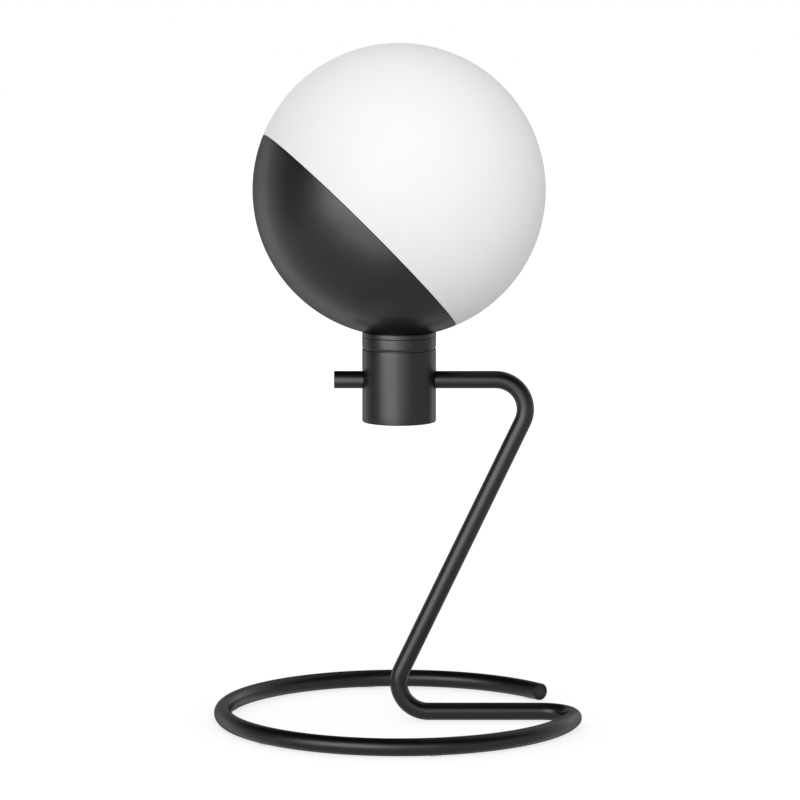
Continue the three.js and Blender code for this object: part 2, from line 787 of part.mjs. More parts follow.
// The ring on the glass neck carries the lugs
function globeRing() {
  const halfSpan = radians(bayonet.spanDegrees) / 2;
  let body = washer(globeRingInner, globeRingOuter, lugBottom, lockRingTop - clearance, globeSides);
  for (let k = 0; k < bayonet.count; k += 1) {
    const middle = 2 * Math.PI * k / bayonet.count;
    body = body.add(sector(globeRingOuter - bayonet.ringWall / 2, globeRingOuter + bayonet.reach,
      middle - halfSpan, middle + halfSpan, lugBottom, lugTop));
  }
  return body;
}

// The lock ring lines the cap's rim. Each lug drops down an entry and turns along a channel.
function lockRing() {
  const outerRadius = capInnerRadius - clearance;
  const outer = sphereArc(outerRadius, Math.acos(lockRingBottom / outerRadius),
    Math.acos(lockRingTop / outerRadius), 3);
  let body = turned([[lockRingInner, lockRingBottom], ...outer, [lockRingInner, lockRingTop]], globeSides);
  const ease = radians(bayonet.easeDegrees);
  const halfSpan = radians(bayonet.spanDegrees) / 2 + ease;
  const travel = radians(bayonet.travelDegrees);
  const cutInner = lockRingInner - overrun;
  const cutOuter = lockRingInner + bayonet.reach;
  const channelTop = lugTop + bayonet.play;
  const channelBottom = lugBottom - bayonet.play;
  for (let k = 0; k < bayonet.count; k += 1) {
    const middle = 2 * Math.PI * k / bayonet.count;
    const open = middle + travel;
    body = body.subtract(sector(cutInner, cutOuter, middle - halfSpan, open + halfSpan,
      channelBottom, channelTop));
    body = body.subtract(sector(cutInner, cutOuter, open - halfSpan, open + halfSpan,
      channelBottom, lockRingTop + overrun));
  }
  return body;
}

function rimGasket() {
  const inner = lockRingInner + bayonet.play;
  return washer(inner, inner + gasket.width, gasketTop - gasket.height, gasketTop, globeSides);
}

// Assembly

const stand = new THREE.Group();
stand.add(
  piece('stand_tube', finishes.satinBlack, standTube()),
  piece('stub_plug', finishes.satinBlack, stubPlugBody()),
  piece('inlet_bush', finishes.blackPlastic, inletBush()),
  piece('supply_lead', finishes.rubber, supplyLead()),
  ...footPads(),
  piece('housing', finishes.satinBlack, housing()),
  piece('housing_cover', finishes.satinBlack, housingCover()),
  ...screws(),
  piece('swivel_stop_fixed', finishes.zincSteel, fixedPin()),
  piece('swivel_washer', finishes.whitePlastic, swivelWasherBody()),
);

const shade = new THREE.Group();
shade.position.set(0, 0, globeHeight);
shade.quaternion.copy(globeTurn);
shade.add(
  piece('cap_shell', finishes.satinBlack, capShell()),
  piece('lock_ring', finishes.blackPlastic, lockRing()),
  piece('rim_gasket', finishes.rubber, rimGasket()),
  piece('glass_globe', finishes.opalGlass, glassGlobe()),
  piece('globe_ring', finishes.zincSteel, globeRing()),
);

const head = new THREE.Group();
head.add(
  piece('swivel_disc', finishes.satinBlack, swivelDisc()),
  piece('swivel_stop_moving', finishes.zincSteel, movingPin()),
  piece('neck_ring', finishes.satinBlack, neckRing()),
  ...stemParts(),
  ...lampholderParts(),
  ...bulbParts(),
  shade,
);

const lamp = new THREE.Group();
lamp.add(stand, head);

export default lamp;
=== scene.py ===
# Looks of the table lamp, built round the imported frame. Metres, +Z up, +X towards the tube's bends.
import json
import math

import bmesh
import bpy
import numpy as np
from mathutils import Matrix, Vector

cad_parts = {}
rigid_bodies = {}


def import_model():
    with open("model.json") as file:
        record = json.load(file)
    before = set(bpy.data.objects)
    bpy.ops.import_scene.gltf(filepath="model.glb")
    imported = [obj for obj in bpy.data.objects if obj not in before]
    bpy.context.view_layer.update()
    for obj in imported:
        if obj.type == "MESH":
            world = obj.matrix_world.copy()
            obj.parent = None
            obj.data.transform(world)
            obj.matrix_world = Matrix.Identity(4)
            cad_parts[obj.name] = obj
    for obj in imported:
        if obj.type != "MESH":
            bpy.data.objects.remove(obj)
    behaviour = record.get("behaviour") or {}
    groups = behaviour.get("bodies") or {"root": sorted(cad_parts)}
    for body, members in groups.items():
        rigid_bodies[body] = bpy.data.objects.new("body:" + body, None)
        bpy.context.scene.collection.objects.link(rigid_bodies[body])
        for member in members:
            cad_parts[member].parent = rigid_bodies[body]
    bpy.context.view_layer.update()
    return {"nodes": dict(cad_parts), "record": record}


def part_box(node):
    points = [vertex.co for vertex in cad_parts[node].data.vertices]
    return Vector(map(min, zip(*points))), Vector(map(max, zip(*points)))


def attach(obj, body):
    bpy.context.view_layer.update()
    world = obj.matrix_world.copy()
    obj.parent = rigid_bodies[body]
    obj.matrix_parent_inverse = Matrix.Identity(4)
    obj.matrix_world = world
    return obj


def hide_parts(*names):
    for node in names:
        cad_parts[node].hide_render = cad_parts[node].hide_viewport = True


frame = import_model()

X, Y, Z = np.eye(3)

# Stand tube: its section, its corners and its ends
TUBE_RADIUS = 0.006
TUBE_BORE = 0.0045
TOP_RUN_HEIGHT = 0.2379
BASE_HEIGHT = 0.0066
STUB_REACH = 0.0446
KNEE_REACH = 0.0987
HEEL_REACH = -0.01235
BEND_RADIUS = 0.0205
FOOT_BEND_RADIUS = 0.022
RING_RADIUS = 0.122
FREE_END = math.radians(35)
TUBE_EDGE = 0.0004
PLUG_RECESS = 0.0002
PLUG_LENGTH = 0.007
PLUG_GAP = 0.00015
PLUG_CROWN = 0.0003
BUSH_RECESS = 0.0001
BUSH_LENGTH = 0.009
BUSH_EDGE = 0.0007
BUSH_GAP = 0.0001
LEAD_RADIUS = 0.0026
LEAD_RECESS = 0.0001
LEAD_BEND_RADIUS = 0.012

# Edges, lines and fits that several pieces share
EDGE_ROUND = 0.0008
FINE_EDGE = 0.0003
JOINT_EDGE = 0.00015
JOINT_LINE = 0.00018
FIT = 0.0003

# Housing, swivel disc and neck ring: the frame's own pieces give their heights
HOUSING_RADIUS = 0.0253
HOUSING_BORE = 0.0218
LEDGE_WIDTH = 0.0008
DECK_THICKNESS = 0.0045
PASSAGE_RADIUS = TUBE_RADIUS + FIT
COLLAR_RADIUS = 0.01
COLLAR_END = 0.0108
WASHER_BORE = 0.0072
LIP_INSET = 0.0005
LIP_HEIGHT = 0.0005
BEVEL_HEIGHT = 0.0018
NECK_LINE = JOINT_LINE * 1.3
NECK_BORE = HOUSING_RADIUS * 0.6
SEAT_LINE = 0.0001

housing_low, housing_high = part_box("housing")
disc_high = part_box("swivel_disc")[1]
washer_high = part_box("swivel_washer")[1]
cover_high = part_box("housing_cover")[1]
STEM_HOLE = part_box("threaded_stem")[1].x + FIT

# Globe and cap: one sphere, parted at a seam that is square to its slanting axis
GLOBE_RADIUS = 0.1
GLOBE_TILT = math.radians(45.46)
GLOBE_TURN = math.radians(10)
CAP_WALL = 0.0012
CAP_EDGE = 0.00025
CAP_CLEARANCE = 0.00043
GLASS_WALL = 0.003
GLASS_RIM_ROUND = 0.0005
GLASS_NECK_INSET = 0.0125
GLASS_NECK_LENGTH = 0.008
GLASS_NECK_ROUND = 0.0008
GLASS_NECK_FILLET = 0.0006
SEAM_DROP = 0.0386
SEAM_GAP = 0.0004
GLOBE_HEIGHT = disc_high.z + CAP_CLEARANCE + GLOBE_RADIUS
GLOBE_AXIS = np.array([
    math.sin(GLOBE_TILT) * math.cos(GLOBE_TURN),
    math.sin(GLOBE_TILT) * math.sin(GLOBE_TURN),
    math.cos(GLOBE_TILT),
])
GLOBE_CENTRE = np.array([0, 0, GLOBE_HEIGHT])

# Fineness of the surfaces
ROUND_COLUMNS = 144
TUBE_COLUMNS = 72
GLOBE_COLUMNS = 256
LEAD_COLUMNS = 24
BEND_STEPS = 24
LEAD_BEND_STEPS = 16
RING_STEPS = 220
BUSH_STEPS = 8
QUARTER_STEPS = 4
OUTSIDE_ROWS = 110
INSIDE_ROWS = 70
CAP_ROWS = 72
NECK_ROWS = 12
SEAT_POINTS = 9
SHARP_ANGLE = math.radians(32)
KEPT_ANGLE = math.radians(38)
MERGE = 2e-6


# Meshes from grids of points

def placed(name, data):
    """A new object of this data, in the scene."""
    obj = bpy.data.objects.new(name, data)
    bpy.context.scene.collection.objects.link(obj)
    return obj


def grid_faces(rows, columns, wrap_rows):
    """Quads between neighbouring rows and columns; columns always wrap, rows do if asked."""
    last = rows if wrap_rows else rows - 1
    r, c = np.meshgrid(np.arange(last), np.arange(columns), indexing="ij")
    r2, c2 = (r + 1) % rows, (c + 1) % columns
    quads = np.stack([r * columns + c, r * columns + c2, r2 * columns + c2, r2 * columns + c], -1)
    return quads.reshape(-1, 4)


def mesh_of(name, parts):
    """One object from (points, quads) parts: their shared places are merged, and their faces are turned
    outwards."""
    grids = [np.asarray(p).reshape(-1, 3) for p, _ in parts]
    points = np.concatenate(grids)
    starts = np.cumsum([0] + [len(g) for g in grids[:-1]])
    quads = np.concatenate([q + s for (_, q), s in zip(parts, starts)])
    mesh = bpy.data.meshes.new(name)
    mesh.vertices.add(len(points))
    mesh.vertices.foreach_set("co", points.astype(np.float32).ravel())
    mesh.loops.add(quads.size)
    mesh.loops.foreach_set("vertex_index", quads.astype(np.int32).ravel())
    mesh.polygons.add(len(quads))
    mesh.polygons.foreach_set("loop_start", np.arange(0, quads.size, 4, dtype=np.int32))
    mesh.update(calc_edges=True)
    build = bmesh.new()
    build.from_mesh(mesh)
    bmesh.ops.remove_doubles(build, verts=build.verts, dist=MERGE)
    bmesh.ops.dissolve_degenerate(build, dist=MERGE / 10, edges=build.edges)
    bmesh.ops.recalc_face_normals(build, faces=build.faces)
    build.to_mesh(mesh)
    build.free()
    mesh.polygons.foreach_set("use_smooth", np.ones(len(mesh.polygons), bool))
    mesh.set_sharp_from_angle(angle=SHARP_ANGLE)
    return placed(name, mesh)


def skin(points, wrap_rows=False):
    """The (points, quads) part of a grid of points, rows by columns."""
    rows, columns = points.shape[:2]
    return points, grid_faces(rows, columns, wrap_rows)


def fillet(corner, before, after, radius, steps=5):
    """Points on the arc of one radius that rounds a corner between its neighbours, as (radius, height)."""
    corner, before, after = (np.asarray(p, float) for p in (corner, before, after))
    a = (before - corner) / np.linalg.norm(before - corner)
    b = (after - corner) / np.linalg.norm(after - corner)
    half = math.acos(np.clip(a @ b, -1, 1)) / 2
    reach = radius / math.tan(half)
    middle = (a + b) / np.linalg.norm(a + b)
    centre = corner + middle * radius / math.sin(half)
    start, end = corner + a * reach - centre, corner + b * reach - centre
    turn = math.pi - 2 * half
    t = np.linspace(0, 1, steps + 1)[:, None]
    return centre + (np.sin((1 - t) * turn) * start + np.sin(t * turn) * end) / math.sin(turn)


def quarter_round(radius, height, across, up):
    """(radius + across * (1 - cos a), height + up * (1 - sin a)) for even angles a up to a right angle."""
    a = np.linspace(0, math.pi / 2, QUARTER_STEPS + 1)
    return np.stack([radius + across * (1 - np.cos(a)), height + up * (1 - np.sin(a))], -1)


def rounded(profile):
    """A closed profile of (radius, height, fillet) rows with each corner rounded by its own fillet."""
    rows = [np.asarray(p[:2], float) for p in profile]
    out = []
    for k, entry in enumerate(profile):
        if entry[2] > 0:
            out.append(fillet(rows[k], rows[k - 1], rows[(k + 1) % len(rows)], entry[2]))
        else:
            out.append(rows[k][None])
    return np.concatenate(out)


def turned(profile, columns=ROUND_COLUMNS):
    """The profile's (radius, height) points carried round Z: (r cos a, r sin a, h) for even angles a."""
    angle = np.linspace(0, 2 * math.pi, columns, endpoint=False)
    r, h = profile[:, 0:1], profile[:, 1:2]
    return np.stack([r * np.cos(angle), r * np.sin(angle), h + 0 * angle], -1)


# Routes: arrays of places, headings and the two directions of the section's plane

def arc(centre, start, axis, angle, steps):
    """Places on the circle through start about an axis, and the headings along it."""
    centre, start, axis = (np.asarray(v, float) for v in (centre, start, axis))
    spoke = start - centre
    t = np.linspace(0, angle, steps + 1)[:, None]
    across = np.cross(axis, spoke)
    places = centre + spoke * np.cos(t) + across * np.sin(t)
    headings = np.cross(axis, places - centre)
    return places, headings / np.linalg.norm(headings, axis=1, keepdims=True)


def bend(corner, before, after, radius, steps):
    """The arc of one radius at the corner between two straight runs."""
    corner, before, after = (np.asarray(v, float) for v in (corner, before, after))
    angle = math.acos(np.clip(before @ after, -1, 1))
    start = corner - before * radius * math.tan(angle / 2)
    axis = np.cross(before, after)
    axis /= np.linalg.norm(axis)
    centre = start + np.cross(axis, before) * radius
    return arc(centre, start, axis, angle, steps)


foot_reach = math.sqrt((RING_RADIUS - FOOT_BEND_RADIUS) ** 2 - FOOT_BEND_RADIUS ** 2)
foot_swing = math.asin(FOOT_BEND_RADIUS / (RING_RADIUS - FOOT_BEND_RADIUS))
ring_sweep = 2 * math.pi - FREE_END - foot_swing


def ring_arc(start, end, steps):
    """The base ring's centreline, clockwise from above, between two angles past the foot bend."""
    angle = -foot_swing - start
    first = [RING_RADIUS * math.cos(angle), RING_RADIUS * math.sin(angle), BASE_HEIGHT]
    return arc([0, 0, BASE_HEIGHT], first, -Z, end - start, steps)


def lower_route(trim=0.0):
    """From the upper bend down the leg, along the base and round the ring to its free end."""
    knee, heel = np.array([KNEE_REACH, 0, TOP_RUN_HEIGHT]), np.array([HEEL_REACH, 0, BASE_HEIGHT])
    leg = (heel - knee) / np.linalg.norm(heel - knee)
    foot_centre = [foot_reach, -FOOT_BEND_RADIUS, BASE_HEIGHT]
    foot_start = [foot_reach, 0, BASE_HEIGHT]
    return [
        bend(knee, X, leg, BEND_RADIUS, BEND_STEPS),
        bend(heel, leg, X, BEND_RADIUS, BEND_STEPS),
        arc(foot_centre, foot_start, -Z, math.pi / 2 + foot_swing, BEND_STEPS),
        tuple(a[1:] for a in ring_arc(0, ring_sweep - trim / RING_RADIUS, RING_STEPS)),
    ]


def framed(pieces, upright):
    """A route's places and headings, with the section's two directions: those of the first pieces lie
    across the leg's plane, and those past them stay level and upright."""
    places = np.concatenate([p for p, _ in pieces])
    headings = np.concatenate([h for _, h in pieces])
    count = sum(len(p) for p, _ in pieces[:upright])
    flat = np.arange(len(places)) >= count
    side = np.where(flat[:, None], np.cross(Z, headings), Y)
    rise = np.where(flat[:, None], Z, np.cross(headings, Y))
    return places, headings, side, rise


def sweep(route, rows, columns=TUBE_COLUMNS):
    """A round section along a route. Each row is (station, offset along the heading, radius), and its points
    are place + offset * heading + radius * (cos a * side + sin a * rise)."""
    places, headings, side, rise = route
    station = rows[:, 0].astype(int)
    offset, radius = rows[:, 1:2], rows[:, 2:3]
    centre = places[station] + offset * headings[station]
    angle = np.linspace(0, 2 * math.pi, columns, endpoint=False)
    cos, sin = np.cos(angle)[None, :, None], np.sin(angle)[None, :, None]
    return centre[:, None] + radius[:, None] * (cos * side[station][:, None] + sin * rise[station][:, None])


def edge_rows(station, outward, radius, edge):
    """Rows for sweep over the rounded edge at a tube's end, from its side to its face. A negative edge
    rounds an outer skin, and a positive one a bore."""
    return [(station, offset, r) for r, offset in quarter_round(radius, 0, edge, -outward * abs(edge))]


def pipe_rows(count, outer, inner, first_edge, last_edge, last_inner_edge):
    """Rows for sweep along a pipe's outer skin, over its last end, back along its bore and over its first
    end. The stations between the ends give the two skins."""
    middle = range(1, count - 1)
    return np.array([
        *edge_rows(0, -1, outer, -first_edge)[::-1],
        *[(k, 0, outer) for k in middle],
        *edge_rows(count - 1, 1, outer, -last_edge),
        *edge_rows(count - 1, 1, inner, last_inner_edge)[::-1],
        *[(k, 0, inner) for k in middle[::-1]],
        *edge_rows(0, -1, inner, first_edge),
    ], float)


# Finishes

def principled(name, color, roughness, metallic=0.0, specular=0.5):
    """A new material, its node tree and its Principled shader."""
    material = bpy.data.materials.new(name)
    material.use_nodes = True
    tree = material.node_tree
    shader = next(n for n in tree.nodes if n.type == "BSDF_PRINCIPLED")
    shader.inputs["Base Color"].default_value = (*color, 1)
    shader.inputs["Roughness"].default_value = roughness
    shader.inputs["Metallic"].default_value = metallic
    shader.inputs["Specular IOR Level"].default_value = specular
    return material, tree, shader


def added(tree, kind, values=None):
    """A new shader node, with these values at its inputs."""
    node = tree.nodes.new(kind)
    for name, value in (values or {}).items():
        node.inputs[name].default_value = value
    return node


def noise(tree, scale, detail=4.0, roughness=0.55):
    """A noise texture on Object coordinates; scale is in cycles per metre."""
    place = added(tree, "ShaderNodeTexCoord")
    node = added(tree, "ShaderNodeTexNoise", {"Scale": scale, "Detail": detail, "Roughness": roughness})
    tree.links.new(place.outputs["Object"], node.inputs["Vector"])
    return node.outputs["Fac"]


def mapped(tree, value, low, high, source=(0.3, 0.7)):
    """The value's range stretched to low..high."""
    node = added(tree, "ShaderNodeMapRange", {
        "From Min": source[0], "From Max": source[1], "To Min": low, "To Max": high})
    tree.links.new(value, node.inputs["Value"])
    return node.outputs["Result"]


def mixed(tree, factor, first, second):
    """A colour between two, by a factor."""
    node = tree.nodes.new("ShaderNodeMix")
    node.data_type = "RGBA"
    node.inputs["A"].default_value = (*first, 1)
    node.inputs["B"].default_value = (*second, 1)
    tree.links.new(factor, node.inputs["Factor"])
    return node.outputs["Result"]


def bumped(tree, shader, height, distance):
    """Relief of one real depth from a height."""
    node = added(tree, "ShaderNodeBump", {"Distance": distance, "Strength": 1.0})
    tree.links.new(height, node.inputs["Height"])
    tree.links.new(node.outputs["Normal"], shader.inputs["Normal"])


def edge_wear(tree, low, high):
    """A factor that rises on outward edges, from the mesh's own pointiness."""
    node = added(tree, "ShaderNodeNewGeometry")
    return mapped(tree, node.outputs["Pointiness"], 0, 1, (low, high))


# Paint: where its tint falls off by slant and how far, its grain, its clouds of gloss, and its worn edges
PAINT_ROUGHNESS = 0.35
SLANT_FROM_TO = (0.6, 0.9)
SLANT_TINT = 0.3
GRAIN_SCALE = 2600
GRAIN_DEPTH = 0.000012
GRAIN_GLOSS = 0.03
CLOUD_SCALE = 45
CLOUD_GLOSS = 0.02
WORN_POINTINESS = (0.52, 0.6)


def painted(name, color, rubbed):
    """Satin metallic-black paint: fine grain, slow changes of gloss, and edges that are rubbed a little
    lighter. Its grain shades itself at a steep slant, which keeps the sheen of the rims low."""
    material, tree, shader = principled(name, color, PAINT_ROUGHNESS, metallic=1.0)
    slant = added(tree, "ShaderNodeLayerWeight", {"Blend": 0.5})
    tint = mapped(tree, slant.outputs["Facing"], 1.0, SLANT_TINT, SLANT_FROM_TO)
    tree.links.new(tint, shader.inputs["Specular Tint"])
    grain = noise(tree, GRAIN_SCALE, 2.0)
    cloud = noise(tree, CLOUD_SCALE, 3.0)
    gloss = tree.nodes.new("ShaderNodeMath")
    gloss.operation = "ADD"
    tree.links.new(mapped(tree, grain, -GRAIN_GLOSS, GRAIN_GLOSS), gloss.inputs[0])
    tree.links.new(mapped(tree, cloud, PAINT_ROUGHNESS - CLOUD_GLOSS, PAINT_ROUGHNESS + CLOUD_GLOSS),
                   gloss.inputs[1])
    tree.links.new(gloss.outputs[0], shader.inputs["Roughness"])
    tone = mixed(tree, edge_wear(tree, *WORN_POINTINESS), color, rubbed)
    tree.links.new(tone, shader.inputs["Base Color"])
    bumped(tree, shader, grain, GRAIN_DEPTH)
    return material


def opal_glass():
    """Satin opal glass: white through and through, with a faint cloud in its depth and a silky surface."""
    material, tree, shader = principled("opal_glass_satin", (0.86, 0.86, 0.855), 0.6)
    shader.inputs["IOR"].default_value = 1.25
    cloud = noise(tree, 18, 2.0)
    tone = mixed(tree, mapped(tree, cloud, 0, 1), (0.865, 0.865, 0.86), (0.85, 0.85, 0.845))
    tree.links.new(tone, shader.inputs["Base Color"])
    silk = noise(tree, 2500, 2.0)
    tree.links.new(mapped(tree, silk, 0.57, 0.65), shader.inputs["Roughness"])
    bumped(tree, shader, silk, 0.00001)
    return material


def moulded(name, color, roughness, grain_scale=1800, grain_depth=0.00002, specular=0.5):
    """A moulded or extruded polymer: a fine grain in its tone, gloss and relief."""
    material, tree, shader = principled(name, color, roughness, specular=specular)
    grain = noise(tree, grain_scale, 3.0)
    lighter = tuple(min(1, c * 1.12 + 0.002) for c in color)
    tree.links.new(mixed(tree, mapped(tree, grain, 0, 1), color, lighter), shader.inputs["Base Color"])
    tree.links.new(mapped(tree, grain, roughness - 0.05, roughness + 0.05), shader.inputs["Roughness"])
    bumped(tree, shader, grain, grain_depth)
    return material


def plated(name, color, roughness, brushing=900):
    """Plated or bright metal: fine turning marks along Z in its gloss and relief."""
    material, tree, shader = principled(name, color, roughness, metallic=1.0)
    place = added(tree, "ShaderNodeTexCoord")
    stretch = added(tree, "ShaderNodeMapping", {"Scale": (0.15, 0.15, 1)})
    marks = added(tree, "ShaderNodeTexNoise", {"Scale": brushing})
    tree.links.new(place.outputs["Object"], stretch.inputs["Vector"])
    tree.links.new(stretch.outputs["Vector"], marks.inputs["Vector"])
    tree.links.new(mapped(tree, marks.outputs["Fac"], roughness - 0.08, roughness + 0.1),
                   shader.inputs["Roughness"])
    darker = tuple(c * 0.86 for c in color)
    tree.links.new(mixed(tree, mapped(tree, noise(tree, 300), 0, 1), darker, color),
                   shader.inputs["Base Color"])
    bumped(tree, shader, marks.outputs["Fac"], 0.00001)
    return material


def clear_silicone():
    """Clear silicone, faintly milky, with a soft grain in its skin."""
    material, tree, shader = principled("clear_silicone", (0.8, 0.8, 0.79), 0.25, specular=0.4)
    shader.inputs["IOR"].default_value = 1.41
    shader.inputs["Transmission Weight"].default_value = 0.85
    grain = noise(tree, 900, 2.0)
    tree.links.new(mapped(tree, grain, 0.2, 0.32), shader.inputs["Roughness"])
    tree.links.new(mixed(tree, grain, (0.76, 0.76, 0.75), (0.84, 0.84, 0.83)), shader.inputs["Base Color"])
    bumped(tree, shader, grain, 0.00002)
    return material


FINISHES = {
    "satin_black": painted("satin_black_paint", (0.03, 0.03, 0.0302), (0.042, 0.042, 0.0425)),
    "opal_glass": opal_glass(),
    "black_plastic": moulded("black_plastic_fine", (0.012, 0.012, 0.012), 0.5, specular=0.3),
    "pad_silicone": clear_silicone(),
    "gasket_rubber": moulded("gasket_rubber_matt", (0.014, 0.014, 0.014), 0.75, 2200, 0.00004, 0.3),
    "lead_sheath": moulded("lead_sheath_smooth", (0.012, 0.012, 0.012), 0.5, 1500, 0.00001, 0.3),
    "zinc_steel": plated("zinc_steel_plated", (0.62, 0.63, 0.64), 0.34),
    "brass": plated("brass_bright", (0.78, 0.62, 0.3), 0.28),
    "ceramic": moulded("ceramic_unglazed", (0.82, 0.8, 0.76), 0.6, 1200, 0.00003),
    "white_plastic": moulded("white_plastic_satin", (0.82, 0.82, 0.81), 0.42),
    "bulb_opal": moulded("bulb_frosted", (0.88, 0.88, 0.86), 0.55, 2600, 0.00001),
    "core_brown": moulded("core_brown_insulation", (0.24, 0.11, 0.04), 0.45),
    "core_blue": moulded("core_blue_insulation", (0.05, 0.2, 0.55), 0.45),
}


def finish(obj, body, slot, *nodes):
    """The object gets its slot's material, rides on its body and stands for its CAD nodes."""
    obj.data.materials.clear()
    obj.data.materials.append(FINISHES[slot])
    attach(obj, body)
    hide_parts(*nodes)


# The bent tube, with the slot where the lead drops in from the stem

SLOT_LEFT = -0.0035
SLOT_RIGHT = 0.00804
SLOT_COLUMNS = 7  # of the tube's columns, to each side of its top


def tube_route():
    """The whole centreline, with stations at the slot's two ends."""
    straight = np.array([-STUB_REACH, SLOT_LEFT, SLOT_RIGHT])
    places = np.stack([straight, 0 * straight, 0 * straight + TOP_RUN_HEIGHT], -1)
    run = (places, np.tile(X, (len(straight), 1)))
    return framed([run, *lower_route()], 3)


def slotted(points, outer_slot, inner_slot):
    """The skin's quads without those over the slot, and the quads of the slot's rim between the two skins."""
    rows, columns = points.shape[:2]
    quads = grid_faces(rows, columns, True)
    row, column = np.divmod(np.arange(len(quads)), columns)
    top = columns // 4
    over = (column >= top - SLOT_COLUMNS) & (column < top + SLOT_COLUMNS)
    keep = ~(over & ((row == outer_slot) | (row == inner_slot)))
    ring = np.arange(top - SLOT_COLUMNS, top + SLOT_COLUMNS + 1)
    first_out, last_out = outer_slot * columns, (outer_slot + 1) * columns
    last_in, first_in = inner_slot * columns, (inner_slot + 1) * columns
    ends = [np.stack([a + ring[:-1], a + ring[1:], b + ring[1:], b + ring[:-1]], -1)
            for a, b in ((first_out, first_in), (last_out, last_in))]
    sides = np.array([[first_out + c, last_out + c, last_in + c, first_in + c] for c in (ring[0], ring[-1])])
    return np.concatenate([quads[keep], *ends, sides])


def bent_tube():
    """The outer skin from the stub to the free end, over that end, and back along the bore."""
    route = tube_route()
    rows = pipe_rows(len(route[0]), TUBE_RADIUS, TUBE_BORE, TUBE_EDGE, TUBE_EDGE, TUBE_EDGE)
    points = sweep(route, rows)
    first_skin_row = QUARTER_STEPS + 1
    quads = slotted(points, first_skin_row, len(rows) - first_skin_row - 2)
    finish(mesh_of("bent_tube", [(points, quads)]), "stand", "satin_black", "stand_tube")


def end_plug():
    """A short round plug in the stub, its outer face faintly crowned."""
    start = -STUB_REACH + PLUG_RECESS
    radius = TUBE_BORE - PLUG_GAP
    crown = [(r * radius, -PLUG_CROWN * (1 - r * r)) for r in (0, 0.35, 0.65, 0.85)]
    profile = [*crown, (radius - FINE_EDGE, 0), (radius, FINE_EDGE), (radius, PLUG_LENGTH), (0, PLUG_LENGTH)]
    points = turned(np.array(profile), TUBE_COLUMNS)
    along = np.stack([points[..., 2] + start, points[..., 1], points[..., 0] + TOP_RUN_HEIGHT], -1)
    finish(mesh_of("end_plug", [skin(along)]), "stand", "satin_black", "stub_plug")


def lead_bush():
    """The sleeve round the lead in the ring's free end."""
    end = ring_sweep - BUSH_RECESS / RING_RADIUS
    route = framed([ring_arc(end - BUSH_LENGTH / RING_RADIUS, end, BUSH_STEPS)], 0)
    outer, inner = TUBE_BORE - BUSH_GAP, LEAD_RADIUS + BUSH_GAP
    rows = pipe_rows(len(route[0]), outer, inner, FINE_EDGE, BUSH_EDGE, JOINT_EDGE)
    part = skin(sweep(route, rows), True)
    finish(mesh_of("lead_bush", [part]), "stand", "black_plastic", "inlet_bush")


def lead_in_tube():
    """The supply lead from the swivel's plane down the stem, into the top run and along the tube."""
    start = (np.array([[0, 0, housing_high.z]]), -Z[None])
    turn = bend([0, 0, TOP_RUN_HEIGHT], -Z, X, LEAD_BEND_RADIUS, LEAD_BEND_STEPS)
    route = framed([start, turn, *lower_route(LEAD_RECESS)], 4)
    count = len(route[0])
    rows = [(0, 0, 0), *edge_rows(0, -1, LEAD_RADIUS, -FINE_EDGE)[::-1],
            *[(k, 0, LEAD_RADIUS) for k in range(1, count - 1)],
            *edge_rows(count - 1, 1, LEAD_RADIUS, -JOINT_EDGE), (count - 1, 0, 0)]
    part = skin(sweep(route, np.array(rows, float), LEAD_COLUMNS))
    finish(mesh_of("lead_in_tube", [part]), "stand", "lead_sheath", "supply_lead")


# Foot pads under the ring

PAD_LENGTH = 0.008
PAD_HALF_WIDTH = 0.002
PAD_CORNER = 0.0007
PAD_EDGE = 0.0001
PAD_INSET = 0.012
PAD_COUNT = 6


def pad_section(half_width):
    """The pad's section across the ring, as (offset, height): a flat sole, two low sides and the tube's
    seat, where height = tube's height - sqrt(passage radius ^ 2 - offset ^ 2)."""
    wall = half_width - PAD_EDGE
    across = np.linspace(wall, -wall, SEAT_POINTS)
    saddle = np.stack([across, BASE_HEIGHT - np.sqrt(PASSAGE_RADIUS ** 2 - across ** 2)], -1)
    sole = [(-half_width, PAD_EDGE), (-wall, 0), (wall, 0), (half_width, PAD_EDGE)]
    return np.concatenate([sole, saddle])


def ring_pad(name, middle):
    """Sections along the ring, narrowed towards both ends by the pad's rounded corners, and closed there:
    place = (r cos a, r sin a, height) at a = middle + distance along / ring radius."""
    half_widths, reach = quarter_round(PAD_HALF_WIDTH, PAD_LENGTH / 2, -PAD_CORNER, -PAD_CORNER).T
    along = np.concatenate([-reach[::-1], reach])
    rows = np.stack([pad_section(w) for w in (*half_widths[::-1], *half_widths)])
    angle = (middle + along / RING_RADIUS)[:, None]
    radius = RING_RADIUS + rows[..., 0]
    points = np.stack([radius * np.cos(angle), radius * np.sin(angle), rows[..., 1]], -1)
    centres = points.mean(1, keepdims=True)
    ends = [np.repeat(centres[[k]], points.shape[1], 1) for k in (0, -1)]
    whole = np.concatenate([ends[0], points, ends[1]])
    return mesh_of(name, [skin(whole)])


def ring_pads():
    """The pads, evenly spaced round the ring from near its free end to near the foot bend."""
    first = FREE_END + PAD_INSET / RING_RADIUS
    span = ring_sweep - 2 * PAD_INSET / RING_RADIUS
    for k in range(PAD_COUNT):
        pad = ring_pad(f"ring_pad_{k + 1}", first + span * k / (PAD_COUNT - 1))
        finish(pad, "stand", "pad_silicone", f"foot_pad_{k + 1}")


# Housing: a turned shell whose side wall is pierced twice for the tube

# The blocks of the wall's grid round a passage, outside and inside: columns to each side, half height, rows
OUTER_BLOCK = (9, 0.0095, 16)
INNER_BLOCK = (16, 0.0128, 18)
PLAIN_LEVELS = 3
RIM_RINGS = 6
RIM_CROWDING = 0.8
ANGLE_MATCH = 1e-8


